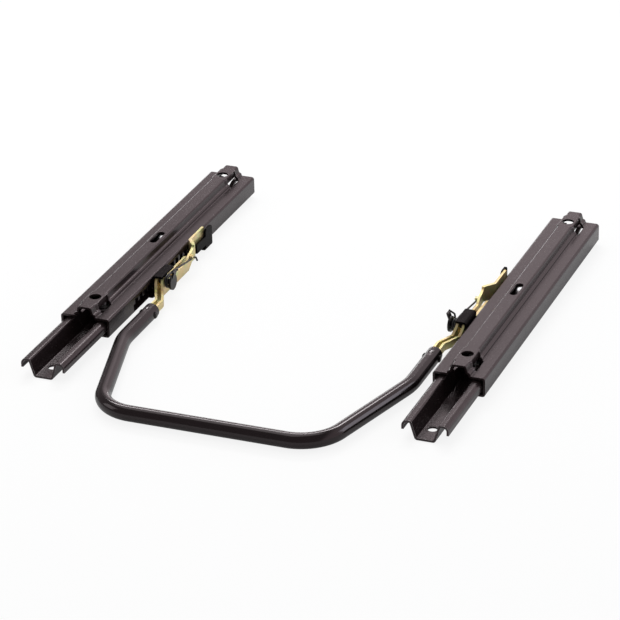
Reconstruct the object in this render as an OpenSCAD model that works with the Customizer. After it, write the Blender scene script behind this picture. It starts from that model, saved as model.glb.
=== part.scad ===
// Pair of steel seat slide rails, joined by one lifting handle.
// X runs across the car, Y towards its back and Z up. The origin is the centre of the
// four floor bolt holes, on the face that lies on the floor. The seat rails are drawn
// in their rearmost notch, with the floor rails showing in front of them. The handle is
// drawn as it lies on a table, which keeps the latch just open; when the rails are fitted
// above a floor, its springs lower the bar until the teeth are home in their notches.

/* [Rail pair] */
// Distance between the centre lines of the two rails
rail_pitch = 350; // [300:1:420]
// How far the seat rails stand behind the floor rails in the rearmost notch
rail_offset = 86; // [70:1:96]

/* [Seat rail] */
// Length of a seat rail
seat_rail_l = 336; // [330:1:350]
// Width over the two side walls
seat_rail_w = 47; // [45:0.5:52]
// Height of the flat shelf above the floor
shelf_z = 20.4; // [20:0.1:22]
// Height of the raised middle above the shelf
dome_h = 9; // [7:0.5:11]
// Width of the raised middle at its top
dome_top_w = 12.8; // [11.8:0.2:13]
// Width of the raised middle at its foot
dome_foot_w = 21.2; // [21:0.2:22.4]
// Clearance under the seat rail's turned-in bottom edges
return_z = 2.6; // [2.4:0.1:3]
// Width of each turned-in bottom edge
return_w = 11.5; // [9:0.5:12]
// Thickness of the seat rail's sheet
seat_sheet = 2; // [1.6:0.1:2.1]
// Outer radius of the seat rail's long bends
seat_bend_r = 2.6; // [2.2:0.1:3.2]
// Distance of each seat bolt hole from its end of the seat rail
seat_hole_margin = 23; // [20:0.5:26]
// Diameter of the seat bolt holes
seat_bolt_d = 11; // [9:0.5:11.5]
// Distance of the slot's middle from the seat rail's front end
slot_y = 158; // [150:1:170]
// Length of that slot in the raised middle
slot_l = 25; // [16:1:30]
// Width of that slot
slot_w = 7; // [5:0.5:8]

/* [Floor rail] */
// Length of a floor rail
floor_rail_l = 336; // [330:1:350]
// Width over the two turned-down lips
floor_rail_w = 41.6; // [40.6:0.2:42]
// Height of the two flanges
flange_z = 17; // [16.6:0.1:17.2]
// Width of the channel at its mouth
mouth_w = 24; // [23:0.5:26]
// Width of the channel's floor
channel_w = 18.8; // [18:0.2:20]
// Height of the lips' bottom edges above the floor
lip_z = 8.4; // [8:0.1:8.8]
// Thickness of the floor rail's sheet
floor_sheet = 2; // [1.6:0.1:2.2]
// Outer radius of the bends that the balls run on
track_r = 5; // [4.4:0.1:5.4]
// Distance of each floor bolt hole from its end of the floor rail
floor_hole_margin = 19.5; // [17:0.5:24]
// Diameter of the floor bolt holes
floor_bolt_d = 9; // [7:0.5:10]

/* [Latch notches] */
// Distance from one notch to the next
notch_pitch = 10; // [9.4:0.1:10.6]
// Width of a notch
notch_w = 6.5; // [6.2:0.1:7]
// Height of a notch's top edge above the lip's bottom edge
notch_h = 4.6; // [4.5:0.1:5]
// How far the seat rails travel forward
travel = 180; // [150:10:180]

/* [Latch lever] */
// Thickness of the lever's sheet
lever_sheet = 2.2; // [1.8:0.1:2.3]
// Width of the lever's channel, over its two walls
lever_w = 8; // [7.4:0.1:8.2]
// Height of the lever's channel
lever_h = 7; // [6.4:0.1:7.2]
// Width of a tooth
tooth_w = 4.5; // [4:0.1:5]
// Number of teeth
tooth_count = 3; // [2:1:3]
// Turn of the handle from open to latched
latch_turn = 3; // [2.7:0.05:3.1]

/* [Pivot] */
// Distance of the pivot pin from the seat rail's front end
pivot_y = 99; // [97:0.5:101]
// Height of the pivot pin
pivot_z = 16; // [15.4:0.1:16.6]
// Diameter of the pivot pin
pivot_d = 5; // [4:0.1:5.2]
// Thickness of the black bracket's sheet
bracket_sheet = 2; // [1.6:0.1:2]
// Length of the bracket along the rail
bracket_l = 27; // [24:0.5:28]

/* [Torsion spring] */
// Diameter of the spring's wire
wire_d = 1.8; // [1.6:0.1:2]
// Diameter of the coil, at the middle of the wire
coil_d = 10.4; // [10:0.1:11]
// Number of turns
coil_turns = 1.75; // [1.75:1:2.75]

/* [Handle] */
// Outer diameter of the handle's tube
tube_d = 14; // [13.8:0.1:14.4]
// Wall of the handle's tube
tube_wall = 1.4; // [1.2:0.1:1.5]
// Height of the tube's middle above the floor
tube_z = 8; // [7.9:0.1:8.6]
// Distance of the tube's arms from the seat rails' inner walls
arm_gap = 17; // [16.6:0.1:17.6]
// Distance of the arm's first bend in front of the seat rail's front end
arm_bend_y = 8; // [4:1:20]
// Distance of the cross bar in front of the seat rail's front end
bar_y = 134; // [120:1:150]
// How far the arms lean inwards on their way to the cross bar
arm_lean = 34.5; // [25:0.5:45]
// Bend radius where the arms start to lean
arm_bend_r = 70; // [50:5:90]
// Bend radius where the arms meet the cross bar
bar_bend_r = 38; // [28:1:48]

/* [Rollers and balls] */
// Width of a load roller
roller_w = 8.4; // [7:0.1:8.6]
// Distance of the front roller from the seat rail's front end
front_roller_y = 48; // [47:0.5:50]
// Distance between the two rollers
roller_pitch = 126; // [120:1:128]
// Number of balls in each group
ball_count = 3; // [2:1:3]
// Distance from ball to ball
ball_pitch = 10; // [8:0.5:11]
// Thickness of the ball strips
strip_t = 0.7; // [0.6:0.05:0.8]
// Thickness of the roller carrier
carrier_t = 1.2; // [1:0.1:1.6]

/* [Hidden] */

// One overrun for every cut
over = 1;
// Gap between parts that slide or turn on each other
slip = 0.3;
// Radial clearance of a pin in its hole
pin_slip = 0.05;
// Facets of round parts
round_fn = 48;
// Steps of a long bend in the sheet
bend_steps = 5;

// Heights and widths that follow from the driving sizes
dome_z = shelf_z + dome_h;
seat_half = seat_rail_w / 2;
floor_half = floor_rail_w / 2;
seat_front = rail_offset - seat_rail_l / 2;
return_in = seat_half - return_w;
shelf_under = shelf_z - seat_sheet;
wall_in = seat_half - seat_sheet;
return_top = return_z + seat_sheet;

// The raised middle rises in two steps, with a narrow ledge between them
foot_lean = 0.5;
wall_lean = 1.6;
ledge_h = 2.6;
ledge_fall = 0.6;
ledge_z = shelf_z + ledge_h;
waist_half = dome_top_w / 2 + wall_lean;
crease_r = 1;
ball_slip = 0.1;
dome_r = seat_sheet + ball_slip;

// Pads round the seat bolt holes, and the lanced stops beside them
pad_l = 25;
pad_extra = 1.7;
pad_front_margin = 9;
stop_l = 20;
stop_w = 4.8;
stop_drop = 4.6;
stop_front_margin = 11;
stop_in = 7.4;
tongue_in = 5.8;
tongue_w = 4;

// Window in the inner side wall, through which the latch works
window_front = 52;
window_back = 229;
window_top = 16;
window_r = 3;

// Latch places, measured outwards from the seat rail's inner wall
lever_mid_gap = 7;
plate_gap = 1;
cheek_gap = 0.6;
keeper_gap = 4.2;

// Steps in the lever, measured from the seat rail's front end
tube_end_y = 54.4;
shank_l = 17;
shank_y = tube_end_y - shank_l;
cranked_y = 70;
straight_lead = 7;
straight_y = pivot_y - straight_lead;
flag_end_y = 150;
rise_y = 158;
joggle_y = 166;
plate_y = 175;
plate_end_y = 206.5;
first_tooth_y = 184;
plate_low = return_top + slip;

// How far the first tooth moves back while it rises into its notch
tooth_swing = (pivot_z - plate_low - lever_sheet / 2) * sin(latch_turn)
    - (first_tooth_y - pivot_y) * (1 - cos(latch_turn));

// Unit direction from one point to the next, and the direction on its left
function along(a, b) = (b - a) / norm(b - a);
function left_of(d) = [-d[1], d[0]];

// Round bend of radius r at corner b, as points shifted to the left by s
function bend(a, b, c, r, s, steps = bend_steps) =
    let (n1 = left_of(along(a, b)), n2 = left_of(along(b, c)), turn = sign(cross(n1, n2)),
        middle = b + turn * r * (n1 + n2) / (1 + n1 * n2))
    [for (i = [0:steps])
        let (v = n1 * (1 - i / steps) + n2 * i / steps)
        middle - turn * (r - turn * s) * v / norm(v)];

// A bent line through corners [x, y, radius], shifted to the left by s
function bent(p, s) =
    let (q = [for (k = p) [k[0], k[1]]], n = len(p) - 1)
    concat([q[0] + s * left_of(along(q[0], q[1]))],
        [for (i = [1:1:n - 1]) each bend(q[i - 1], q[i], q[i + 1], p[i][2], s)],
        [q[n] + s * left_of(along(q[n - 1], q[n]))]);

// Section of a bent sheet of thickness t, with its material on the left of the line
function sheet_section(p, t) =
    let (back = bent(p, t), n = len(back) - 1) concat(bent(p, 0), [for (i = [0:n]) back[n - i]]);

// Corners of one half, followed by the same corners mirrored
function both_halves(p) = concat(p, [for (i = [len(p) - 1:-1:0]) [-p[i][0], p[i][1], p[i][2]]]);

seat_corners = both_halves([
    [return_in, return_z, 0], [seat_half, return_z, seat_bend_r], [seat_half, shelf_z, seat_bend_r],
    [dome_foot_w / 2, shelf_z, crease_r], [dome_foot_w / 2 - foot_lean, ledge_z, dome_r],
    [waist_half, ledge_z + ledge_fall, crease_r], [dome_top_w / 2, dome_z, dome_r]]);

floor_corners = both_halves([
    [floor_half, lip_z, 0], [floor_half, flange_z, track_r], [mouth_w / 2, flange_z, dome_r],
    [channel_w / 2 - floor_sheet, floor_sheet, crease_r]]);

// Carries a flat section along the rail from y0 over length l
module run(y0, l) {
    translate([0, y0 + l, 0]) rotate([90, 0, 0]) linear_extrude(l) children();
}

// Moves a piece drawn for a rail at x = 0, inner side towards +X, to its own side
module on_side(side) {
    if (side < 0) translate([-rail_pitch / 2, 0, 0]) children();
    else translate([rail_pitch / 2, 0, 0]) mirror([1, 0, 0]) children();
}

// As on_side, with Y counted from the seat rail's front end
module on_seat(side) {
    on_side(side) translate([0, seat_front, 0]) children();
}

module box_from(low, high) {
    translate(low) cube(high - low);
}

// A hole along Z at [x, y], from z0 to z1
module hole_z(x, y, d, z0, z1) {
    translate([x, y, z0]) cylinder(d = d, h = z1 - z0, $fn = round_fn);
}

// A round bar along X at [y, z], from x0 to x1
module bar_x(x0, x1, y, z, d) {
    translate([x0, y, z]) rotate([0, 90, 0]) cylinder(d = d, h = x1 - x0, $fn = round_fn);
}

// Floor rail: a channel with flanges turned out and lips turned down; the inner lip
// has the notches that the latch's teeth drop into
notch_count = floor(travel / notch_pitch) + tooth_count;
first_notch_y = seat_front + first_tooth_y + tooth_swing - travel;

module floor_rail(side) {
    color("#26211f") on_side(side) difference() {
        run(-floor_rail_l / 2, floor_rail_l) polygon(sheet_section(floor_corners, floor_sheet));
        for (s = [-1, 1])
            hole_z(0, s * (floor_rail_l / 2 - floor_hole_margin), floor_bolt_d, -over, floor_sheet + over);
        for (i = [0:notch_count - 1])
            translate([floor_half - floor_sheet - over, first_notch_y + i * notch_pitch - notch_w / 2,
                lip_z - over])
                cube([floor_sheet + 2 * over, notch_w, notch_h + over]);
    }
}

// Seat rail: wraps round the floor rail's flanges, with the raised middle pressed up
pad_half = dome_top_w / 2 + pad_extra;
pad_foot = dome_foot_w / 2 + foot_lean;

module pad(y0) {
    run(y0, pad_l) difference() {
        polygon([[-pad_foot, shelf_z], [-pad_half, dome_z - crease_r], [-pad_half + crease_r, dome_z],
            [pad_half - crease_r, dome_z], [pad_half, dome_z - crease_r], [pad_foot, shelf_z]]);
        polygon(concat(bent(seat_corners, seat_sheet), [[return_in, -over], [-return_in, -over]]));
    }
}

// A lanced opening through the side of the raised middle, cut on both sides
module stop_cuts(y0) {
    for (s = [-1, 1])
        translate([s * (stop_in + stop_w / 2) - stop_w / 2, y0, shelf_under - over])
            cube([stop_w, stop_l, dome_z - shelf_under + 2 * over]);
}

// The strips pressed down in those openings: their free ends stop the roller carrier
module stop_tongues(y0, toward) {
    for (s = [-1, 1])
        translate([s * (tongue_in + tongue_w / 2) - tongue_w / 2, toward > 0 ? y0 : y0 + stop_l, 0])
            mirror([0, toward > 0 ? 0 : 1, 0]) rotate([90, 0, 90]) linear_extrude(tongue_w)
                polygon([[-2 * seat_sheet, shelf_z], [0, shelf_z], [stop_l, shelf_z - stop_drop],
                    [stop_l, shelf_under - stop_drop], [0, shelf_under], [-2 * seat_sheet, shelf_under]]);
}

module seat_rail(side) {
    slot_half = (slot_l - slot_w) / 2;
    color("#2b2624") on_seat(side) {
        difference() {
            union() {
                run(0, seat_rail_l) polygon(sheet_section(seat_corners, seat_sheet));
                pad(pad_front_margin);
                pad(seat_rail_l - pad_front_margin - pad_l);
            }
            for (y = [seat_hole_margin, seat_rail_l - seat_hole_margin])
                hole_z(0, y, seat_bolt_d, dome_z - seat_sheet - over, dome_z + over);
            translate([0, slot_y, dome_z - seat_sheet - over]) {
                for (s = [-1, 1]) hole_z(0, s * slot_half, slot_w, 0, seat_sheet + 2 * over);
                translate([-slot_w / 2, -slot_half, 0])
                    cube([slot_w, 2 * slot_half, seat_sheet + 2 * over]);
            }
            stop_cuts(stop_front_margin);
            stop_cuts(seat_rail_l - stop_front_margin - stop_l);
            window();
            seat_rivet_holes([bracket_rivet_y(-1), bracket_rivet_y(1),
                keeper_rivet_y(-1), keeper_rivet_y(1)]);
        }
        stop_tongues(stop_front_margin, 1);
        stop_tongues(seat_rail_l - stop_front_margin - stop_l, -1);
    }
}

// The latch window: round corners at the top, down to the turned-in edge
module window() {
    translate([wall_in - seat_sheet / 2, 0, 0]) rotate([90, 0, 90])
        linear_extrude(2 * seat_sheet) {
            translate([window_front, return_top]) square([window_back - window_front,
                window_top - window_r - return_top]);
            translate([window_front + window_r, return_top])
                square([window_back - window_front - 2 * window_r, window_top - return_top]);
            for (y = [window_front + window_r, window_back - window_r])
                translate([y, window_top - window_r]) circle(window_r, $fn = round_fn);
        }
}

// Bracket that carries the pivot pin: one bent strip, with a foot under the seat rail, a
// cheek beside it and a hood over the lever's hub
lever_mid_x = seat_half + lever_mid_gap;
coil_pitch_share = 1.1;
coil_pitch = wire_d * coil_pitch_share;
coil_x = lever_mid_x + lever_w / 2 + wire_d / 2 + slip;
coil_end_x = coil_x + coil_turns * coil_pitch;
cheek_x = seat_half + cheek_gap;
head_x = coil_end_x + wire_d / 2 + slip;
foot_bottom = return_z - bracket_sheet;
foot_gap = 0.4;
foot_in = return_in + foot_gap;
boss_r = pivot_d / 2 + lever_sheet;
hood_z = pivot_z + boss_r + 2 * slip;

rivet_d = 4;
rivet_head_d = 7;
rivet_head_h = 1.4;
rivet_x = (return_in + wall_in) / 2;
foot_rivet_s = 4;
bracket_lead = 8;
bracket_front = pivot_y - bracket_lead;
bracket_mid = bracket_front + bracket_l / 2;

function bracket_rivet_y(s) = bracket_mid + s * foot_rivet_s;

module foot_rivet_holes(ys) {
    for (y = ys) hole_z(rivet_x, y, rivet_d, foot_bottom - over, return_top + over);
}

module latch_bracket(side) {
    out = cheek_x + bracket_sheet;
    color("#1d1b1c") on_seat(side) difference() {
        run(bracket_front, bracket_l) polygon(sheet_section([[foot_in, foot_bottom, 0],
            [out, foot_bottom, bracket_sheet + crease_r], [out, hood_z, crease_r],
            [lever_mid_x + lever_w / 2, hood_z, 0]], bracket_sheet));
        bar_x(cheek_x - over, out + over, pivot_y, pivot_z, pivot_d + 2 * pin_slip);
        foot_rivet_holes([bracket_rivet_y(-1), bracket_rivet_y(1)]);
    }
}

// A flush rivet from under the foot, with its head on the turned-in edge
module foot_rivet(y) {
    hole_z(rivet_x, y, rivet_d, foot_bottom, return_top);
    translate([rivet_x, y, return_top]) cylinder(d1 = rivet_head_d, d2 = rivet_d, h = rivet_head_h,
        $fn = round_fn);
}

module seat_rivet_holes(ys) {
    for (y = ys) hole_z(rivet_x, y, rivet_d, return_z - over, return_top + over);
}

module bracket_rivets(side) {
    color("#3b393a") on_seat(side) for (s = [-1, 1]) foot_rivet(bracket_rivet_y(s));
}

// Keeper at the lever's far end: a foot under the seat rail, an ear beside it and an arm
// forward from the ear, which keeps the teeth in line with the window
keeper_ear_y = 202;
keeper_end_y = 217;
keeper_foot_y = 222;
keeper_rivet_mid = 215;
keeper_arm_y = 181;
keeper_arm_z = 6.5;
keeper_arm_top = 15.5;
keeper_ear_top = 22.5;
keeper_r = 4;

module keeper(side) {
    x = seat_half + keeper_gap;
    out = x + bracket_sheet;
    color("#1d1b1c") on_seat(side) difference() {
        union() {
            run(keeper_ear_y, keeper_end_y - keeper_ear_y) polygon(sheet_section(
                [[foot_in, foot_bottom, 0], [out, foot_bottom, bracket_sheet + crease_r],
                    [out, keeper_arm_top, 0]], bracket_sheet));
            box_from([foot_in, keeper_ear_y, foot_bottom], [seat_half, keeper_foot_y, return_z]);
            translate([x, 0, 0]) rotate([90, 0, 90]) linear_extrude(bracket_sheet) {
                translate([keeper_arm_y, keeper_arm_z])
                    square([keeper_end_y - keeper_arm_y, keeper_arm_top - keeper_arm_z]);
                translate([keeper_ear_y, keeper_arm_z])
                    square([keeper_end_y - keeper_ear_y, keeper_ear_top - keeper_r - keeper_arm_z]);
                translate([keeper_ear_y + keeper_r, keeper_arm_z])
                    square([keeper_end_y - keeper_ear_y - 2 * keeper_r, keeper_ear_top - keeper_arm_z]);
                for (y = [keeper_ear_y + keeper_r, keeper_end_y - keeper_r])
                    translate([y, keeper_ear_top - keeper_r]) circle(keeper_r, $fn = round_fn);
            }
        }
        foot_rivet_holes([keeper_rivet_y(-1), keeper_rivet_y(1)]);
    }
}

function keeper_rivet_y(s) = keeper_rivet_mid + s * foot_rivet_s;

module keeper_rivets(side) {
    color("#3b393a") on_seat(side) for (s = [-1, 1]) foot_rivet(keeper_rivet_y(s));
}

// Pivot pin, flush in the bracket's cheek. Its wide flat head holds the spring on and has an
// ear on top, bent outwards, that the spring's short leg bears on
pin_head_d = 14.4;
pin_head_h = 2;
ear_w = 5.6;
ear_top = 27;
ear_foot = 20;
ear_lean = 2.4;

module pivot_pin(side) {
    color("#4a4847") on_seat(side) {
        bar_x(cheek_x, head_x, pivot_y, pivot_z, pivot_d);
        bar_x(head_x, head_x + pin_head_h, pivot_y, pivot_z, pin_head_d);
        run(pivot_y - ear_w / 2, ear_w) polygon([[head_x, ear_foot], [head_x + pin_head_h, ear_foot],
            [head_x + pin_head_h + ear_lean, ear_top], [head_x + ear_lean, ear_top]]);
    }
}

// Latch lever: a channel cranked from the handle's tube in to the rail, then joggled
// through to a flat plate whose teeth reach the floor rail's notches
arm_x = seat_half + arm_gap;
plate_x = seat_half + plate_gap;
lever_low = tube_z - lever_h / 2;

// Middle line of the channel, seen from above, as [x, y, bend radius]
lever_line = [[arm_x, shank_y, 0], [arm_x, cranked_y, lever_w],
    [lever_mid_x, straight_y, lever_w], [lever_mid_x, joggle_y, 0]];

function shifted(p, a, b) =
    let (back = bent(p, b), n = len(back) - 1) concat(bent(p, a), [for (i = [0:n]) back[n - i]]);

// Outline of a wall, seen from the side: the flag hangs down behind the pivot, then
// the wall rises past the spring's lug
flag_low = 4;
flag_top = 14;
plate_top = 24;
joggle_low = 9.6;
lug_y = 152;
lug_l = 4;
lug_w = 2.7;
lug_z = 15.6;

module wall_outline(end_y) {
    rear = end_y > rise_y ? [[end_y, joggle_low], [end_y, plate_top - lever_sheet / 2],
        [lug_y + lug_l + lever_sheet, plate_top - 2 * lever_sheet], [lug_y, lug_z + lever_sheet],
        [lug_y - 2 * lever_sheet, flag_top]] : [[end_y, flag_top]];
    polygon(concat([[shank_y, lever_low], [cranked_y, lever_low], [pivot_y, flag_low],
        [flag_end_y, flag_low], [rise_y, joggle_low]], rear,
        [[pivot_y + 2 * boss_r, flag_top], [pivot_y + boss_r, pivot_z + boss_r],
        [pivot_y - boss_r, pivot_z + boss_r], [straight_y - boss_r, lever_low + lever_h],
        [shank_y, lever_low + lever_h]]));
}

// Keeps what lies inside an outline seen from the side
module from_side() {
    translate([seat_half, 0, 0]) rotate([90, 0, 90]) linear_extrude(arm_gap + lever_w) children();
}

function tooth_y(i) = first_tooth_y + i * notch_pitch;
tooth_past = 0.5;
tooth_reach = plate_x - floor_half + floor_sheet + tooth_past;

module latch_lever(side) {
    half = lever_w / 2;
    wall_out = lever_mid_x + half;
    color("#c9a94c") on_seat(side) difference() {
        union() {
            // bottom of the channel
            translate([0, 0, lever_low]) linear_extrude(lever_sheet)
                intersection() {
                    polygon(shifted(lever_line, -half, half));
                    translate([0, shank_y]) square([arm_x + lever_w, flag_end_y - shank_y]);
                }
            // outer wall, then inner wall
            intersection() {
                linear_extrude(plate_top) polygon(shifted(lever_line, -half, lever_sheet - half));
                from_side() wall_outline(joggle_y);
            }
            intersection() {
                linear_extrude(plate_top) polygon(shifted(lever_line, half - lever_sheet, half));
                from_side() wall_outline(rise_y);
            }
            // joggle from the outer wall in to the plate
            translate([0, 0, joggle_low]) linear_extrude(plate_top - joggle_low)
                polygon([[wall_out, joggle_y - lever_sheet], [wall_out, joggle_y],
                    [plate_x + lever_sheet, plate_y + lever_sheet / 2], [plate_x, plate_y],
                    [plate_x, plate_y - lever_sheet / 2],
                    [wall_out - lever_sheet, joggle_y - lever_sheet]]);
            // plate, wider where it carries the teeth
            translate([plate_x, 0, 0]) rotate([90, 0, 90]) linear_extrude(lever_sheet)
                polygon([[plate_y, joggle_low], [tooth_y(0) - tooth_w, plate_low + lever_sheet],
                    [tooth_y(0) - tooth_w / 2, plate_low], [plate_end_y, plate_low],
                    [plate_end_y, plate_top - 2 * lever_sheet], [plate_end_y - lever_sheet, plate_top],
                    [plate_y, plate_top]]);
            for (i = [0:tooth_count - 1])
                translate([plate_x - tooth_reach, tooth_y(i) - tooth_w / 2, plate_low])
                    cube([tooth_reach + lever_sheet / 2, tooth_w, lever_sheet]);
            // lug that the spring's long leg bears on
            box_from([wall_out - lever_sheet / 2, lug_y, lug_z],
                [wall_out + lug_w, lug_y + lug_l, lug_z + lever_sheet]);
        }
        bar_x(seat_half, arm_x + lever_w, pivot_y, pivot_z, pivot_d + 2 * pin_slip);
        bar_x(seat_half, arm_x + lever_w, handle_rivet_y, tube_z, rivet_d);
    }
}

// Return spring: a coil round the pin, a short leg up behind the ear of the pin's head and
// a long leg under the lever's lug
handle_rivet_y = tube_end_y - shank_l / 2;
wire_sides = 8;
wire_ref = [1, 1 / 3, 1 / 6];
coil_steps = 20;

// The route of the wire: long leg, coil and short leg, as points [x, y, z]
coil_r = coil_d / 2;
leg_x = coil_x + slip;
leg_end_y = lug_y + lug_l + lug_w + wire_d;
ear_leg_gap = (ear_top - pivot_z) * sin(latch_turn) + slip;
ear_leg_y = pivot_y + (ear_w + wire_d) / 2 + ear_leg_gap;
coil_top_share = 0.9;
spring_route = concat(
    [[leg_x + lug_w, leg_end_y, lug_z - lug_w - lug_w],
     [leg_x + wire_d, leg_end_y - wire_d / 2, lug_z - wire_d],
     [leg_x, lug_y + lug_l + wire_d / 2, lug_z - wire_d / 2 - pin_slip],
     [leg_x, lug_y, lug_z - wire_d / 2 - pin_slip],
     [coil_x, pivot_y + 2 * coil_r, pivot_z + coil_r * coil_top_share]],
    [for (i = [0:floor(coil_turns * coil_steps)]) let (a = 90 + 360 * i / coil_steps)
        [coil_x + i / coil_steps * coil_pitch, pivot_y + coil_r * cos(a), pivot_z + coil_r * sin(a)]],
    [[coil_end_x, pivot_y + coil_r, pivot_z + coil_r],
     [coil_end_x + slip, ear_leg_y, pivot_z + (pin_head_d + wire_d) / 2],
     [head_x + pin_head_h + ear_lean, ear_leg_y, ear_top]]);

// Direction of a route at point i, halfway between its two stretches there
function unit(v) = v / norm(v);
function tangent(p, i) =
    i == 0 ? unit(p[1] - p[0]) : i == len(p) - 1 ? unit(p[i] - p[i - 1]) :
    unit(unit(p[i] - p[i - 1]) + unit(p[i + 1] - p[i]));

// Ring of points round point i, square to the route; ref is never along the route
function ring(p, i, r, sides, ref) =
    let (t = tangent(p, i), u = unit(cross(t, ref)), v = cross(t, u))
    [for (k = [0:sides - 1]) let (a = 360 * k / sides) p[i] + r * (cos(a) * u + sin(a) * v)];

// Faces of the skin between n rings, the first ring starting at point number first
function skin(n, sides, first, turned) = [for (i = [0:n - 2], k = [0:sides - 1])
    let (m = (k + 1) % sides, a = first + i * sides, b = a + sides,
        quad = [a + k, b + k, b + m, a + m])
    each turned ? [[quad[2], quad[1], quad[0]], [quad[3], quad[2], quad[0]]] :
        [[quad[0], quad[1], quad[2]], [quad[0], quad[2], quad[3]]]];

// A round wire of radius r swept along a route
module wire(p, r, sides, ref) {
    n = len(p);
    polyhedron([for (i = [0:n - 1]) each ring(p, i, r, sides, ref)],
        concat([[for (k = [0:sides - 1]) k]], skin(n, sides, 0, false),
            [[for (k = [sides - 1:-1:0]) (n - 1) * sides + k]]));
}

// A round tube swept along a route, open at both ends
module hollow_wire(p, r_out, r_in, sides, ref) {
    n = len(p);
    inner = n * sides;
    last = (n - 1) * sides;
    polyhedron(concat([for (i = [0:n - 1]) each ring(p, i, r_out, sides, ref)],
        [for (i = [0:n - 1]) each ring(p, i, r_in, sides, ref)]),
        concat(skin(n, sides, 0, false), skin(n, sides, inner, true),
            [for (k = [0:sides - 1]) let (m = (k + 1) % sides) each
                [[k, m, inner + m], [k, inner + m, inner + k],
                 [last + m, last + k, inner + last + k], [last + m, inner + last + k, inner + last + m]]]));
}

module return_spring(side) {
    color("#232324") on_seat(side) wire(spring_route, wire_d / 2, wire_sides, wire_ref);
}

// Handle: one bent tube from lever to lever
handle_x = rail_pitch / 2 - seat_half - arm_gap;
handle_corner_x = handle_x - arm_lean;
handle_line = both_halves([[handle_x, seat_front + tube_end_y, 0],
    [handle_x, seat_front - arm_bend_y, arm_bend_r],
    [handle_corner_x, seat_front - bar_y, bar_bend_r]]);

// Corners of the handle made into round bends, as a route at the tube's height
tube_sides = 24;
tube_steps = 9;
function flat(q) = [q[0], q[1]];
handle_flat = [for (i = [0:len(handle_line) - 1]) each handle_line[i][2] == 0 ? [flat(handle_line[i])] :
    bend(flat(handle_line[i - 1]), flat(handle_line[i]), flat(handle_line[i + 1]), handle_line[i][2],
        0, tube_steps)];
handle_route = [for (q = handle_flat) [q[0], q[1], tube_z]];

module handle_tube() {
    color("#1b1918") difference() {
        hollow_wire(handle_route, tube_d / 2, tube_d / 2 - tube_wall, tube_sides, [0, 0, 1]);
        for (s = [-1, 1]) bar_x(s * handle_x - tube_d, s * handle_x + tube_d,
            seat_front + handle_rivet_y, tube_z, rivet_d);
    }
}

// Rivet through the tube and the lever's shank, a dome head at both ends
module handle_rivet(side) {
    out = tube_d / 2;
    color("#4a4847") on_seat(side) {
        bar_x(arm_x - out, arm_x + out, handle_rivet_y, tube_z, rivet_d);
        for (s = [-1, 1]) translate([arm_x + s * out, handle_rivet_y, tube_z])
            rotate([0, s * 90, 0])
                cylinder(d1 = rivet_head_d, d2 = rivet_d, h = rivet_head_h, $fn = round_fn);
    }
}

// Load rollers between the floor rail's channel and the raised middle
roller_d = dome_z - seat_sheet - floor_sheet - slip;
roller_z = floor_sheet + (slip + roller_d) / 2;
roller_round = 0.8;

module roller(side, y) {
    color("#c8ccd0") on_seat(side) translate([-roller_w / 2, y, roller_z]) rotate([0, 90, 0])
        rotate_extrude($fn = 2 * round_fn)
            polygon([[0, 0], [roller_d / 2 - roller_round, 0], [roller_d / 2, roller_round],
                [roller_d / 2, roller_w - roller_round], [roller_d / 2 - roller_round, roller_w],
                [0, roller_w]]);
}

// Carrier that keeps the two rollers apart: a thin plate with a pocket for each
carrier_rim = 2;
carrier_half = roller_w / 2 + slip + carrier_rim;

module roller_carrier(side) {
    end = roller_d / 2 + slip + carrier_rim;
    color("#8d8f8c") on_seat(side) translate([0, front_roller_y, roller_z - carrier_t / 2])
        linear_extrude(carrier_t) difference() {
            translate([-carrier_half, -end]) square([2 * carrier_half, roller_pitch + 2 * end]);
            for (y = [0, roller_pitch]) translate([-roller_w / 2 - slip, y - roller_d / 2 - slip])
                square([roller_w + 2 * slip, roller_d + 2 * slip]);
            translate([carrier_rim - carrier_half, end])
                square([2 * (carrier_half - carrier_rim), roller_pitch - 2 * end]);
        }
}

// Balls in the corner between the two rails, sized to the space there
track_x = floor_half - track_r;
track_z = flange_z - track_r;
space_x = wall_in - ball_slip - track_x;
space_z = shelf_under - ball_slip - track_z;
space_sum = space_x + space_z + track_r + ball_slip;
ball_r = space_sum - sqrt(space_sum ^ 2 - (space_x ^ 2 + space_z ^ 2 - (track_r + ball_slip) ^ 2));
ball_x = wall_in - ball_slip - ball_r;
ball_z = shelf_under - ball_slip - ball_r;
strip_l = 230;
strip_front_y = 10;
ball_margin = 6;
strip_past = ball_r / 2;
strip_z = (flange_z + shelf_under - strip_t) / 2;

ball_ys = [for (i = [0:ball_count - 1]) each [strip_front_y + ball_margin + i * ball_pitch,
    strip_front_y + strip_l - ball_margin - i * ball_pitch]];

module balls(side) {
    color("#d5d8dc") on_seat(side) for (s = [-1, 1], y = ball_ys)
        translate([s * ball_x, y, ball_z]) sphere(ball_r, $fn = round_fn);
}

module ball_strips(side) {
    strip_in = mouth_w / 2 + seat_sheet;
    color("#8d8f8c") on_seat(side) for (s = [-1, 1])
        translate([0, 0, strip_z]) linear_extrude(strip_t) difference() {
            translate([s > 0 ? strip_in : -ball_x - strip_past, strip_front_y])
                square([ball_x + strip_past - strip_in, strip_l]);
            for (y = ball_ys) translate([s * ball_x, y]) circle(ball_r + ball_slip, $fn = round_fn);
        }
}

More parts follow.
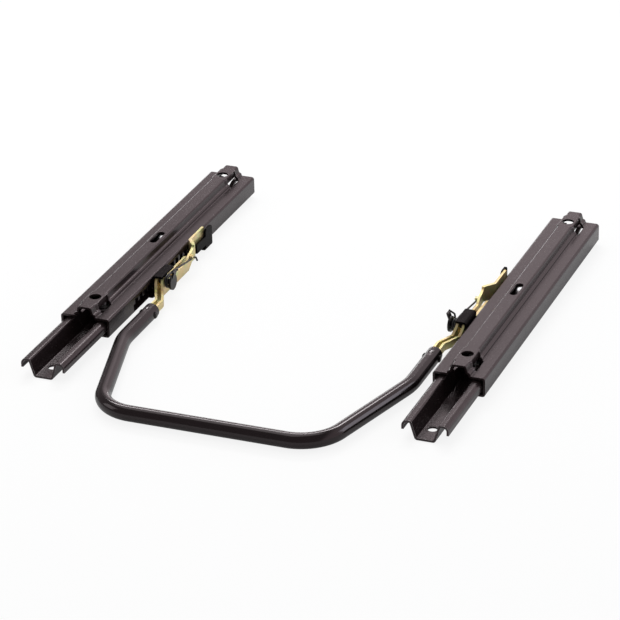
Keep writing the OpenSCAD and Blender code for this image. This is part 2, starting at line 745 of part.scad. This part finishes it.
floor_rail(-1);  // left_floor_rail
floor_rail(1);  // right_floor_rail
seat_rail(-1);  // left_seat_rail
seat_rail(1);  // right_seat_rail
latch_bracket(-1);  // left_latch_bracket
latch_bracket(1);  // right_latch_bracket
bracket_rivets(-1);  // left_bracket_rivets
bracket_rivets(1);  // right_bracket_rivets
keeper(-1);  // left_keeper
keeper(1);  // right_keeper
keeper_rivets(-1);  // left_keeper_rivets
keeper_rivets(1);  // right_keeper_rivets
pivot_pin(-1);  // left_pivot_pin
pivot_pin(1);  // right_pivot_pin
handle_tube();
latch_lever(-1);  // left_latch_lever
latch_lever(1);  // right_latch_lever
handle_rivet(-1);  // left_handle_rivet
handle_rivet(1);  // right_handle_rivet
return_spring(-1);  // left_return_spring
return_spring(1);  // right_return_spring
roller_carrier(-1);  // left_roller_carrier
roller_carrier(1);  // right_roller_carrier
roller(-1, front_roller_y);  // left_front_roller
roller(1, front_roller_y);  // right_front_roller
roller(-1, front_roller_y + roller_pitch);  // left_rear_roller
roller(1, front_roller_y + roller_pitch);  // right_rear_roller
ball_strips(-1);  // left_ball_strips
ball_strips(1);  // right_ball_strips
balls(-1);  // left_balls
balls(1);  // right_balls
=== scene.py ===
import math

import bpy
import numpy as np
from mathutils import Matrix, Vector


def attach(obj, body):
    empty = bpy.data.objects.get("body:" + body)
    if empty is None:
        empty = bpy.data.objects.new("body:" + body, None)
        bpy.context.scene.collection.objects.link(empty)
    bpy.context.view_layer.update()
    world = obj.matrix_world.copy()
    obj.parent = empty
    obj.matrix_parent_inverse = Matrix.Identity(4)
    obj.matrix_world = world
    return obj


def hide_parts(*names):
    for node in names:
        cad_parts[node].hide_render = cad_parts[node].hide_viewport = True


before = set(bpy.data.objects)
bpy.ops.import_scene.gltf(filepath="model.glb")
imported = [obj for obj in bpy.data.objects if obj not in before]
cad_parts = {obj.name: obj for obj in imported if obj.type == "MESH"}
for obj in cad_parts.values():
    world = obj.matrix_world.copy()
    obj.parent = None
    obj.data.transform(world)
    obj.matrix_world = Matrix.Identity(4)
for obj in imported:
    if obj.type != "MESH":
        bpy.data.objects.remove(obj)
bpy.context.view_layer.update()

# Camera: a long lens well above and to the right of the rails, so that both rails run away
# from it to the upper right. Its place, turns and focal length are those of the photograph.
camera_place = Vector((0.9137, -2.2286, 1.1807))
camera_yaw, camera_pitch, camera_roll = (math.radians(a) for a in (22.134, 25.802, -1.454))
camera_focal = 3006.6
picture_side = 620
film_side = 36

ahead = Vector((-math.sin(camera_yaw) * math.cos(camera_pitch),
                math.cos(camera_yaw) * math.cos(camera_pitch), -math.sin(camera_pitch)))
level = Vector((math.cos(camera_yaw), math.sin(camera_yaw), 0))
above = level.cross(ahead)
right = math.cos(camera_roll) * level + math.sin(camera_roll) * above
up = math.cos(camera_roll) * above - math.sin(camera_roll) * level

lens = bpy.data.cameras.new("camera")
lens.sensor_width = film_side
lens.lens = camera_focal / picture_side * film_side
lens.clip_end = 50
camera = bpy.data.objects.new("camera", lens)
camera.matrix_world = Matrix((right, up, -ahead)).transposed().to_4x4()
camera.location = camera_place
bpy.context.scene.collection.objects.link(camera)
bpy.context.scene.camera = camera
bpy.context.scene.view_settings.view_transform = "Standard"


# Table and studio: a white table in a white room, one broad soft lamp above, a weaker one on
# each side, and behind the rails a soft lamp and two strips that draw thin lines on edges and
# tube. The table keeps a faint shadow. What shines in the paint is the table and the pale
# backdrop behind the rails and to their right; the studio's other side is darker.
class Link:
    """An output of a finish's node. Sums, differences and products of links add Math nodes."""

    def __init__(self, finish, socket):
        self.finish = finish
        self.socket = socket

    def math(self, operation, first, second):
        return self.finish.node("ShaderNodeMath", {"operation": operation}, {0: first, 1: second})

    def __add__(self, other):
        return self.math("ADD", self, other)

    def __radd__(self, other):
        return self.math("ADD", other, self)

    def __sub__(self, other):
        return self.math("SUBTRACT", self, other)

    def __rsub__(self, other):
        return self.math("SUBTRACT", other, self)

    def __mul__(self, other):
        return self.math("MULTIPLY", self, other)

    def __rmul__(self, other):
        return self.math("MULTIPLY", other, self)


class Finish:
    """A material or the world's surface, built from nodes."""

    def __init__(self, owner):
        self.owner = owner
        owner.use_nodes = True
        self.tree = owner.node_tree
        self.tree.nodes.clear()

    def node(self, kind, settings=None, sockets=None, out=0):
        """Adds one node: its settings first, then the values or links of its sockets."""
        made = self.tree.nodes.new(kind)
        for name, value in (settings or {}).items():
            if name == "stops":
                for element, (place, grey) in zip(made.color_ramp.elements, value):
                    element.position = place
                    element.color = (grey, grey, grey, 1)
            else:
                setattr(made, name, value)
        for key, value in (sockets or {}).items():
            if isinstance(value, Link):
                self.tree.links.new(value.socket, made.inputs[key])
            else:
                made.inputs[key].default_value = value
        return Link(self, made.outputs[out]) if made.outputs else made

    def noise(self, scale, detail, stretch=(1, 1, 1)):
        """Noise on the piece's own place, with scale in waves per metre."""
        place = self.node("ShaderNodeTexCoord", out="Object")
        place = self.node("ShaderNodeMapping", {}, {"Vector": place, "Scale": stretch})
        return self.node("ShaderNodeTexNoise", {},
                         {"Vector": place, "Scale": scale, "Detail": detail})

    def ramp(self, value, low, high):
        """0 below low, 1 above high."""
        return self.node("ShaderNodeValToRGB", {"stops": ((low, 0), (high, 1))}, {0: value})

    def mix(self, factor, first, second):
        """Colour between first and second by factor."""
        return self.node("ShaderNodeMix", {"data_type": "RGBA"},
                         {0: factor, 6: first, 7: second}, 2)

    def bump(self, height, depth, strength):
        """Normal of a relief whose height 1 is depth metres, with a share of its full effect."""
        return self.node("ShaderNodeBump", {},
                         {"Height": height, "Distance": depth, "Strength": strength})

    def coat(self, sockets):
        """The finish's surface, as one Principled shader."""
        shader = self.node("ShaderNodeBsdfPrincipled", {}, sockets)
        self.node("ShaderNodeOutputMaterial", {}, {"Surface": shader})
        return self.owner


table_half, table_z = 6.0, -0.0004
# Share of the table that glows white for the camera, share of that glow in its mirror image on
# paint, and how far the image is dimmed.
table_glow, mirrored_glow, mirrored_dimming = 0.86, 0.4, 0.5
# Light of the room on the rails, and of the backdrop's dark side in their reflections.
room_light, backdrop_light = 0.5, 0.3
ray = "ShaderNodeLightPath"

table = Finish(bpy.data.materials.new("white_table"))
glossy = table.node(ray, out="Is Glossy Ray")
seen = table.node("ShaderNodeMath", {"operation": "MAXIMUM"},
                  {0: table.node(ray, out="Is Camera Ray"), 1: glossy * mirrored_glow})
lit = table.node("ShaderNodeBsdfDiffuse", {}, {"Color": (0.9, 0.9, 0.9, 1)})
glow = table.node("ShaderNodeEmission", {},
                  {"Color": (1, 1, 1, 1), "Strength": 1 - mirrored_dimming * glossy})
table.node("ShaderNodeOutputMaterial", {}, {
    "Surface": table.node("ShaderNodeMixShader", {}, {0: seen * table_glow, 1: lit, 2: glow})})

table_mesh = bpy.data.meshes.new("table")
table_mesh.from_pydata([(x * table_half, y * table_half, table_z) for x, y in
                        ((-1, -1), (1, -1), (1, 1), (-1, 1))], [], [(0, 1, 2, 3)])
table_mesh.materials.append(table.owner)
table_top = bpy.data.objects.new("table", table_mesh)
bpy.context.scene.collection.objects.link(table_top)

room = bpy.data.worlds.new("white_room")
bpy.context.scene.world = room
air = Finish(room)
toward = air.node("ShaderNodeSeparateXYZ", {},
                  {0: air.node("ShaderNodeTexCoord", out="Generated")})
east, north, high = (Link(air, toward.socket.node.outputs[k]) for k in range(3))
# The backdrop is pale low down on the far right and darker elsewhere.
backdrop = air.ramp(east + north - high * 0.5, 0.14, 0.46)
shine = backdrop_light + (1 - backdrop_light) * backdrop
glossy = air.node(ray, out="Is Glossy Ray")
strength = (room_light + (1 - room_light) * air.node(ray, out="Is Camera Ray")
            + glossy * (shine - room_light))
rosy = air.mix(glossy, (1, 1, 1, 1), (1, 0.87, 0.90, 1))
air.node("ShaderNodeOutputWorld", {}, {"Surface": air.node(
    "ShaderNodeBackground", {}, {"Color": rosy, "Strength": strength})})

for name, place, size, power, tint in (
        ("lamp_above", (-0.5, 0.4, 2.2), (1.6, 1.6), 12, (1, 1, 1)),
        ("lamp_left", (-2.2, -0.8, 1.2), (1.2, 1.2), 7, (1, 1, 1)),
        ("lamp_right", (2.0, 1.2, 1.0), (1.2, 1.2), 12, (0.84, 0.91, 1)),
        ("lamp_back", (-0.75, 2.2, 1.05), (1.3, 0.8), 1.1, (1, 0.84, 0.88)),
        ("lamp_strip", (-1.05, 2.3, 0.25), (1.5, 0.16), 3.5, (1, 1, 1)),
        ("lamp_line", (-0.7, 1.55, 1.75), (1.6, 0.36), 24, (1, 1, 1))):
    lamp = bpy.data.lights.new(name, "AREA")
    lamp.shape = "RECTANGLE"
    lamp.size, lamp.size_y = size
    lamp.energy = power
    lamp.color = tint
    shade = bpy.data.objects.new(name, lamp)
    shade.location = place
    shade.rotation_euler = (-Vector(place)).to_track_quat("-Z", "Y").to_euler()
    shade.visible_camera = False
    bpy.context.scene.collection.objects.link(shade)


# Floor rails: the fixed halves of the slides, each one long strip of 2 mm steel bent into a
# channel with flanges turned out and lips turned down, and dipped in black primer. The inner
# lip has a row of notches, and the channel's floor has a bolt hole near each end.
mm = 0.001
rail_pitch, rail_offset = 350, 86
floor_rail_l, floor_half, flange_z, mouth_half = 336, 20.8, 17, 12
channel_half, lip_z, floor_sheet, track_r, crease_r = 9.4, 8.4, 2, 5, 1
floor_bolt_pitch, floor_bolt_d = 297, 9
notch_pitch, notch_w, notch_h, notch_r, notch_count, first_notch_y = 10, 6.5, 4.6, 0.5, 21, -77.593
dome_r = 2.1
edge_round = 0.36
hole_steps, notch_steps = 10, 2
sharp_angle = math.radians(32)
# Cutters reach past the sheet by over. A round hole is a box whose corners have nearly half its
# width as their radius, so that no two of them meet in one point.
over = 1
nearly = 0.999


def folded(corners, shift, steps=8):
    """Points of a bent line. Each corner x, y, r becomes an arc of radius r that touches both
    sides, and the whole line is moved to its left by shift."""
    point = np.array([c[:2] for c in corners], float)
    way = np.diff(point, axis=0)
    way /= np.linalg.norm(way, axis=1)[:, None]
    left = np.stack([-way[:, 1], way[:, 0]], 1)
    line = [point[:1] + shift * left[:1]]
    t = np.linspace(0, 1, steps + 1)[:, None]
    for i in range(1, len(corners) - 1):
        a, b, r = left[i - 1], left[i], corners[i][2]
        turn = np.sign(a[0] * b[1] - a[1] * b[0])
        angle = math.acos(np.clip(a @ b, -1, 1))
        middle = point[i] + turn * r * (a + b) / (1 + a @ b)
        arc = (np.sin((1 - t) * angle) * a + np.sin(t * angle) * b) / math.sin(angle)
        line.append(middle - turn * (r - turn * shift) * arc)
    line.append(point[-1:] + shift * left[-1:])
    return np.concatenate(line)


def both_halves(corners):
    """The corners of one half, then the same corners mirrored."""
    return corners + [(-x, y, r) for x, y, r in reversed(corners)]


def sheet(corners, thickness):
    """Closed outline of a bent sheet: one side of it out, the other side back."""
    return np.concatenate([folded(corners, 0), folded(corners, thickness)[::-1]])


def carried(outlines, stations):
    """Vertices and faces of a closed outline carried along Y: point j of station i is
    (x_ij, y_i, z_ij), with a quad between neighbours and a flat end at both stations."""
    rows, count = outlines.shape[:2]
    vertex = np.stack([outlines[..., 0], np.broadcast_to(stations[:, None], (rows, count)),
                       outlines[..., 1]], -1).reshape(-1, 3)
    i, j = np.meshgrid(np.arange(rows - 1), np.arange(count), indexing="ij")
    here, across = i * count + j, i * count + (j + 1) % count
    quads = np.stack([here, across, across + count, here + count], -1).reshape(-1, 4)
    ring = np.arange(count)
    return vertex, quads.tolist() + [ring[::-1].tolist(), (ring + (rows - 1) * count).tolist()]


def rounded_box(low, high, radius, axis, steps):
    """Vertices and faces of a box whose four edges along one axis are arcs of that radius."""
    others = [k for k in range(3) if k != axis]
    a, b = np.array(low, float)[others], np.array(high, float)[others]
    angle = np.radians(np.linspace(0, 90, steps + 1))
    arc = np.stack([np.cos(angle), np.sin(angle)], 1)
    middles = [(b[0], b[1]), (a[0], b[1]), (a[0], a[1]), (b[0], a[1])]
    signs = [(-1, -1), (1, -1), (1, 1), (-1, 1)]
    ring = np.concatenate([np.array(m) + radius * (np.array(s) + turned) for m, s, turned in zip(
        middles, signs, (arc, arc[:, ::-1] * (-1, 1), -arc, arc[:, ::-1] * (1, -1)))])
    count = len(ring)
    vertex = np.zeros((2 * count, 3))
    vertex[:, others] = np.tile(ring, (2, 1))
    vertex[:, axis] = np.repeat([low[axis], high[axis]], count)
    j = np.arange(count)
    quads = np.stack([j, (j + 1) % count, (j + 1) % count + count, j + count], 1).tolist()
    faces = quads + [j[::-1].tolist(), (j + count).tolist()]
    return vertex, [f[::-1] for f in faces] if axis == 1 else faces


def join(parts):
    """Vertices and faces of several parts, in one list of each."""
    vertices, faces, start = [], [], 0
    for vertex, face in parts:
        vertices.append(vertex)
        faces += [[k + start for k in f] for f in face]
        start += len(vertex)
    return np.concatenate(vertices), faces


def formed(name, part, side, start_y=0.0):
    """Object of a part drawn in millimetres for a rail at x = 0 whose inner side is +X. The
    right rail's part is the mirror image, with its faces turned back outwards."""
    vertex, faces = part
    place = np.array(vertex, float) * (-side, 1, 1) + (side * rail_pitch / 2, start_y, 0)
    mesh = bpy.data.meshes.new(name)
    mesh.from_pydata((place * mm).tolist(), [], [f[::-1] for f in faces] if side > 0 else faces)
    piece = bpy.data.objects.new(name, mesh)
    bpy.context.scene.collection.objects.link(piece)
    return piece


def settled(piece):
    """Makes the piece's modifiers part of its mesh."""
    bpy.context.view_layer.update()
    shape = piece.evaluated_get(bpy.context.evaluated_depsgraph_get())
    mesh = bpy.data.meshes.new_from_object(shape)
    piece.modifiers.clear()
    piece.data = mesh


def combined(piece, other, operation):
    """Takes the other object out of the piece, or adds it, and then removes the other."""
    both = piece.modifiers.new("combined", "BOOLEAN")
    both.operation = operation
    both.solver = "EXACT"
    both.object = other
    settled(piece)
    bpy.data.objects.remove(other)


def softened(piece, width, worn_and_highlit_material=-1):
    """Rounds the piece's sharp edges by width millimetres. The last argument is the number of the
    material that the rounded edges take, worn and with a painted highlight, or -1 for that of the
    faces beside them."""
    bevel = piece.modifiers.new("edges", "BEVEL")
    bevel.width = width * mm
    bevel.segments = 2
    bevel.limit_method = "ANGLE"
    bevel.angle_limit = sharp_angle
    bevel.material = worn_and_highlit_material


def edged(piece, width, worn_and_highlit_material=-1):
    """Rounds the piece's sharp edges and shades its bends smoothly."""
    piece.data.shade_smooth()
    softened(piece, width, worn_and_highlit_material)
    normals = piece.modifiers.new("normals", "WEIGHTED_NORMAL")
    normals.keep_sharp = True


def primer(name, dark, pale, rough, shine=0.45):
    """Dipped black primer: satin, a little brown, with a fine orange peel and faint dust."""
    finish = Finish(bpy.data.materials.new(name))
    cloud = finish.noise(38, 4, (1, 0.35, 1))
    grain = finish.noise(1500, 2)
    dust = finish.ramp(finish.noise(520, 5), 0.62, 0.74)
    tone = finish.mix(cloud, (*dark, 1), (*pale, 1))
    tone = finish.mix(dust * 0.25, tone, (0.07, 0.06, 0.06, 1))
    return finish.coat({
        "Base Color": tone, "Roughness": rough + 0.08 * cloud + 0.06 * grain + 0.08 * dust,
        "Normal": finish.bump(grain, 0.00006, 0.35), "Specular IOR Level": shine,
        "Specular Tint": (1, 0.84, 0.88, 1)})


def worn_highlit_edge(name, coat, bare):
    """An edge of coated sheet, where the coat is thin and rubbed through in places. The coat's
    tone there is painted far paler than the faces beside it: a painted highlight along the edge.
    """
    finish = Finish(bpy.data.materials.new(name))
    rubbed = finish.ramp(finish.noise(260, 5, (1, 0.5, 1)), 0.36, 0.64)
    return finish.coat({
        "Base Color": finish.mix(rubbed * 0.7, (*coat, 1), (*bare, 1)),
        "Metallic": rubbed * 0.5, "Roughness": 0.42 - 0.10 * rubbed})


rail_finish = primer("rail_primer", (0.0075, 0.0050, 0.0052), (0.018, 0.012, 0.0125), 0.15)
# The edges' coat tone is about ten times paler than the primer: a painted highlight along every
# rounded edge, over real rubbing through to bare steel.
rail_edge_wear_and_highlight = worn_highlit_edge("rail_edge_wear_and_highlight", (0.10, 0.092, 0.093), (0.46, 0.45, 0.45))

floor_corners = both_halves([(floor_half, lip_z, 0), (floor_half, flange_z, track_r),
                             (mouth_half, flange_z, dome_r),
                             (channel_half - floor_sheet, floor_sheet, crease_r)])
for side, name in ((-1, "left"), (1, "right")):
    ends = np.array([-floor_rail_l / 2, floor_rail_l / 2])
    strip = formed(f"{name}_floor_rail_form",
                   carried(np.tile(sheet(floor_corners, floor_sheet), (2, 1, 1)), ends), side)
    bolt_r = floor_bolt_d / 2
    holes = [rounded_box((-bolt_r, y - bolt_r, -over), (bolt_r, y + bolt_r, floor_sheet + over),
                         bolt_r * nearly, 2, hole_steps)
             for y in (-floor_bolt_pitch / 2, floor_bolt_pitch / 2)]
    notches = [rounded_box(
        (floor_half - floor_sheet - over, y - notch_w / 2, lip_z - 2 * over),
        (floor_half + over, y + notch_w / 2, lip_z + notch_h), notch_r, 0, notch_steps)
        for y in first_notch_y + notch_pitch * np.arange(notch_count)]
    combined(strip, formed("holes", join(holes + notches), side), "DIFFERENCE")
    # The rounded edges take the second material: real wear with a painted highlight.
    for material in (rail_finish, rail_edge_wear_and_highlight):
        strip.data.materials.append(material)
    edged(strip, edge_round, worn_and_highlit_material=1)
    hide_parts(f"{name}_floor_rail")
    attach(strip, "floor_rails")


# Seat rails: the sliding halves, each a strip of 2 mm steel wrapped round the floor rail, with
# its middle pressed up in two steps. Round both bolt holes it is wider, and beside them strips
# are lanced and pressed down. A window in the inner side wall lets the latch through.
seat_rail_l, seat_half, shelf_z, dome_h = 336, 23.5, 20.4, 9
dome_top_half, dome_foot_half, return_z, return_in = 6.4, 10.6, 2.6, 12
foot_lean, wall_lean, ledge_z, ledge_fall = 0.5, 1.6, 23, 0.6
seat_sheet, seat_bend_r = 2, 2.6
seat_bolt_pitch, seat_bolt_d, slot_y, slot_l, slot_w = 290, 11, 158, 25, 7
seat_front = rail_offset - seat_rail_l / 2
dome_z = shelf_z + dome_h
pad_half, pad_l, pad_margin, pad_slope, pad_waist_share = 8.1, 25, 9, 4, 0.6
stop_l, stop_w, stop_margin, stop_drop, stop_in, stop_r = 20, 4.8, 11, 4.6, 7.4, 0.8
tongue_in, tongue_w = 5.8, 4
window_front, window_back, window_top, window_r = 52, 229, 16, 3
tongue_stations, slope_stations, slot_steps, window_steps, stop_steps = 13, 7, 8, 6, 4


def seat_corners(pad):
    """Corners of the seat rail's section; pad 0 is the plain section, 1 the widened one."""
    wider = pad * (pad_half - dome_top_half)
    top = dome_top_half + wider
    waist = dome_top_half + wall_lean + wider * pad_waist_share
    foot = dome_foot_half + pad * foot_lean
    return both_halves([(return_in, return_z, 0), (seat_half, return_z, seat_bend_r),
                        (seat_half, shelf_z, seat_bend_r), (foot, shelf_z, crease_r),
                        (foot - foot_lean, ledge_z, dome_r),
                        (waist, ledge_z + ledge_fall, crease_r), (top, dome_z, dome_r)])


def eased(t):
    """0 up to t = 0 and 1 from t = 1, with a smooth run of 3 t² - 2 t³ between."""
    t = np.clip(t, 0, 1)
    return t * t * (3 - 2 * t)


def tongue(x, front, toward):
    """A strip that stays joined to the sheet at front and is pressed down towards its other end,
    in an even S-shaped run."""
    at = np.linspace(-2 * seat_sheet, stop_l, tongue_stations)
    drop = stop_drop * eased(at / stop_l)
    y = front + toward * at
    low, high = shelf_z - seat_sheet - drop, shelf_z - drop
    near, far = x - tongue_w / 2, x + tongue_w / 2
    box = np.array([[(near, a), (far, a), (far, b), (near, b)] for a, b in zip(low, high)])
    return carried(box if toward > 0 else box[::-1], y if toward > 0 else y[::-1])


slope = (np.linspace(0, 1, slope_stations) - 0.5) * pad_slope
pad_ends = ((pad_margin, pad_margin + pad_l),
            (seat_rail_l - pad_margin - pad_l, seat_rail_l - pad_margin))
stations = np.unique(np.concatenate(
    [[0, seat_rail_l]] + [end + slope for pad in pad_ends for end in pad]))
padding = sum(eased((stations - a) / pad_slope + 0.5) - eased((stations - b) / pad_slope + 0.5)
              for a, b in pad_ends)
seat_outlines = np.array([sheet(seat_corners(p), seat_sheet) for p in padding])

for side, name in ((-1, "left"), (1, "right")):
    cover = formed(f"{name}_seat_rail_form", carried(seat_outlines, stations), side, seat_front)
    bolt_r = seat_bolt_d / 2
    margin = (seat_rail_l - seat_bolt_pitch) / 2
    cutters = [rounded_box((-bolt_r, y - bolt_r, dome_z - seat_sheet - over),
                           (bolt_r, y + bolt_r, dome_z + over), bolt_r * nearly, 2, hole_steps)
               for y in (margin, margin + seat_bolt_pitch)]
    cutters.append(rounded_box((-slot_w / 2, slot_y - slot_l / 2, dome_z - seat_sheet - over),
                               (slot_w / 2, slot_y + slot_l / 2, dome_z + over),
                               slot_w / 2 * nearly, 2, slot_steps))
    cutters.append(rounded_box((seat_half - 2 * seat_sheet, window_front, return_z + seat_sheet),
                               (seat_half + over, window_back, window_top),
                               window_r, 0, window_steps))
    for front in (stop_margin, seat_rail_l - stop_margin - stop_l):
        for hand in (-1, 1):
            x = hand * (stop_in + stop_w / 2)
            cutters.append(rounded_box((x - stop_w / 2, front, shelf_z - seat_sheet - over),
                                       (x + stop_w / 2, front + stop_l, dome_z + over),
                                       stop_r, 2, stop_steps))
    combined(cover, formed("cutters", join(cutters), side, seat_front), "DIFFERENCE")
    tongues = []
    for front, toward in ((stop_margin, 1), (seat_rail_l - stop_margin, -1)):
        for hand in (-1, 1):
            tongues.append(tongue(hand * (tongue_in + tongue_w / 2), front, toward))
    combined(cover, formed("tongues", join(tongues), side, seat_front), "UNION")
    # The rounded edges take the second material: real wear with a painted highlight.
    for material in (rail_finish, rail_edge_wear_and_highlight):
        cover.data.materials.append(material)
    edged(cover, edge_round, worn_and_highlit_material=1)
    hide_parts(f"{name}_seat_rail")
    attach(cover, f"{name}_seat_rail_body")


# Handle: one steel tube of nearly 14 mm, bent into a shallow bow and painted gloss black. Its
# ends go over the latch levers' shanks, and each end is staked with one punched dent on top.
tube_r, tube_wall, tube_z, tube_sides, tube_edge = 6.995, 1.4, 8, 72, 0.3
arm_x, tube_end_y, arm_bend_y, bar_y = 134.5, 54.4, 8, 134
arm_lean, arm_bend_r, bar_bend_r = 34.5, 70, 38
stake_y, stake_l, stake_w, stake_depth = 42.5, 5.5, 1.5, 0.9
bend_steps, ring_gap = 40, 2.0


def resampled(line, step):
    """Points on the line, a step apart."""
    run = np.concatenate([[0], np.cumsum(np.linalg.norm(np.diff(line, axis=0), axis=1))])
    at = np.linspace(0, run[-1], int(run[-1] / step) + 1)
    return np.stack([np.interp(at, run, line[:, k]) for k in range(line.shape[1])], 1), at


def rings(line, radius, turn):
    """Grid of rings round a line: radius times cos and sin of the turn, along the two
    directions square to the line, the second of which is nearest to straight up."""
    way = np.gradient(line, axis=0)
    way /= np.linalg.norm(way, axis=1)[:, None]
    across = np.cross(way, (0, 0, 1))
    across /= np.linalg.norm(across, axis=1)[:, None]
    rise = np.cross(across, way)
    return (line[:, None] + radius[..., None] * (np.cos(turn)[None, :, None] * across[:, None]
                                                 + np.sin(turn)[None, :, None] * rise[:, None]))


def skin(rows, sides):
    """Quads between neighbouring rings, the last of which joins the first."""
    i, j = np.meshgrid(np.arange(rows), np.arange(sides), indexing="ij")
    a, b = i * sides + j, i * sides + (j + 1) % sides
    c, d = (i + 1) % rows * sides + (j + 1) % sides, (i + 1) % rows * sides + j
    return np.stack([a, b, c, d], -1).reshape(-1, 4)


handle_bends = [(arm_x, seat_front + tube_end_y, 0), (arm_x, seat_front - arm_bend_y, arm_bend_r),
                (arm_x - arm_lean, seat_front - bar_y, bar_bend_r)]
bow = folded(both_halves(handle_bends), 0, bend_steps)
bow, run = resampled(np.column_stack([bow, np.full(len(bow), tube_z)]), ring_gap)
turn = np.radians(np.arange(tube_sides) * 360 / tube_sides)
from_end = np.minimum(run, run[-1] - run)
dent = stake_depth * (np.exp(-((from_end - (tube_end_y - stake_y)) / stake_l * 2) ** 4)[:, None]
                      * np.exp(-((turn - math.pi / 2) * tube_r / stake_w) ** 2)[None])
outside = rings(bow, tube_r - dent, turn)
inside = rings(bow, tube_r - tube_wall - dent, turn)[::-1]
grid = np.concatenate([outside, inside])
tube_mesh = bpy.data.meshes.new("handle_tube_form")
tube_mesh.from_pydata((grid.reshape(-1, 3) * mm).tolist(), [],
                      skin(len(grid), tube_sides).tolist())
handle = bpy.data.objects.new("handle_tube_form", tube_mesh)
bpy.context.scene.collection.objects.link(handle)

gloss = Finish(bpy.data.materials.new("handle_paint"))
peel = gloss.noise(160, 1)
rub = gloss.ramp(gloss.noise(90, 6), 0.60, 0.80)
handle_finish = gloss.coat({
    "Base Color": gloss.mix(rub * 0.4, (0.0055, 0.0040, 0.0042, 1), (0.014, 0.011, 0.011, 1)),
    "Roughness": 0.15 + 0.10 * rub, "Normal": gloss.bump(peel, 0.00004, 0.1),
    "Specular IOR Level": 0.42, "Specular Tint": (1, 0.87, 0.90, 1)})
handle.data.materials.append(handle_finish)
edged(handle, tube_edge)
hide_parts("handle_tube")
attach(handle, "handle")


# Latch levers: pressed from 2.2 mm sheet and plated in yellow zinc, which is pale brass in
# colour with green and pink clouds. The solids' own shapes are right; their edges are rounded.
lever_edge = 0.35
weld_gap = 0.002
flat_angle = math.radians(0.5)


def finished(node, finish, width=0):
    """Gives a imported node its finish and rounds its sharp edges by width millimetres. Its loose
    triangles are welded and its flats joined by modifiers only."""
    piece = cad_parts[node]
    piece.data.materials.clear()
    piece.data.materials.append(finish)
    weld = piece.modifiers.new("weld", "WELD")
    weld.merge_threshold = weld_gap * mm
    flats = piece.modifiers.new("flats", "DECIMATE")
    flats.decimate_type = "DISSOLVE"
    flats.angle_limit = flat_angle
    if width:
        softened(piece, width)
    normals = piece.modifiers.new("normals", "WEIGHTED_NORMAL")
    normals.keep_sharp = False


zinc = Finish(bpy.data.materials.new("yellow_zinc"))
cloud = zinc.noise(95, 3)
tint = zinc.ramp(zinc.noise(160, 3, (1, 1, 2)), 0.42, 0.62)
scratch = zinc.noise(900, 2, (1, 0.12, 1))
tone = zinc.mix(zinc.ramp(cloud, 0.38, 0.62), (0.72, 0.57, 0.26, 1), (0.57, 0.60, 0.27, 1))
tone = zinc.mix(tint * 0.45, tone, (0.80, 0.57, 0.40, 1))
zinc_finish = zinc.coat({"Base Color": tone, "Metallic": 0.75, "Roughness": 0.24 + 0.18 * scratch,
                         "Normal": zinc.bump(scratch, 0.00005, 0.3)})
for name in ("left", "right"):
    finished(f"{name}_latch_lever", zinc_finish, lever_edge)


# Latch brackets and keepers: black primed sheet under the seat rails' inner edges, in a darker,
# nearly
# # matte copy of the rails' primer that also paints in the shade lying there. The bracket's cheek
# carries the pivot and its hood covers the hub. The keeper guides the toothed plate.
bracket_edge = 0.3
# A darker copy of the rails' primer with hardly any shine: the real black primer plus painted
# shade.
bracket_primer_shaded = primer("bracket_primer_painted_shade", (0.002, 0.0017, 0.0017), (0.005, 0.004, 0.004),
                        0.18, 0.03)
for name in ("left", "right"):
    finished(f"{name}_latch_bracket", bracket_primer_shaded, bracket_edge)
    finished(f"{name}_keeper", bracket_primer_shaded, bracket_edge)


# Rivets and pivot pins: cold-headed steel, oiled dark. The rivets hold brackets, keepers and
# handle, and each pin is the axle of one latch lever.
rivet_edge = 0.2
steel = Finish(bpy.data.materials.new("dark_steel"))
mottle = steel.noise(700, 4)
steel_finish = steel.coat({
    "Base Color": steel.mix(mottle, (0.010, 0.009, 0.009, 1), (0.034, 0.031, 0.030, 1)),
    "Metallic": 0.8, "Roughness": 0.22 + 0.2 * mottle})
for name in ("left", "right"):
    for kind in ("bracket_rivets", "keeper_rivets", "pivot_pin", "handle_rivet"):
        finished(f"{name}_{kind}", steel_finish, rivet_edge)


# Return springs: spring wire of 1.8 mm, coiled round the pivot and blackened. The long leg lies
# under the lever's lug, and the short one against the pin's ear.
black_wire = Finish(bpy.data.materials.new("spring_wire"))
drawn = black_wire.noise(1200, 3)
wire_finish = black_wire.coat({
    "Base Color": black_wire.mix(drawn, (0.018, 0.018, 0.019, 1), (0.045, 0.045, 0.048, 1)),
    "Metallic": 0.6, "Roughness": 0.28 + 0.15 * drawn})
for name in ("left", "right"):
    finished(f"{name}_return_spring", wire_finish)


# Rollers, balls and their cages: ground steel rollers in a thin zinc-plated carrier, and balls
# held apart by thin strips in the corners between the two rails.
cage_edge = 0.1
bright = Finish(bpy.data.materials.new("ground_steel"))
lines = bright.noise(2600, 2, (1, 0.02, 0.02))
bright_finish = bright.coat({
    "Base Color": bright.mix(lines, (0.52, 0.53, 0.54, 1), (0.68, 0.69, 0.70, 1)),
    "Metallic": 1.0, "Roughness": 0.16 + 0.12 * lines})
cage = Finish(bpy.data.materials.new("cage_zinc"))
spangle = cage.noise(300, 4)
cage_finish = cage.coat({
    "Base Color": cage.mix(spangle, (0.30, 0.31, 0.31, 1), (0.46, 0.47, 0.46, 1)),
    "Metallic": 0.85, "Roughness": 0.34 + 0.2 * spangle})
for name in ("left", "right"):
    for kind in ("front_roller", "rear_roller", "balls"):
        finished(f"{name}_{kind}", bright_finish)
    for kind in ("roller_carrier", "ball_strips"):
        finished(f"{name}_{kind}", cage_finish, cage_edge)
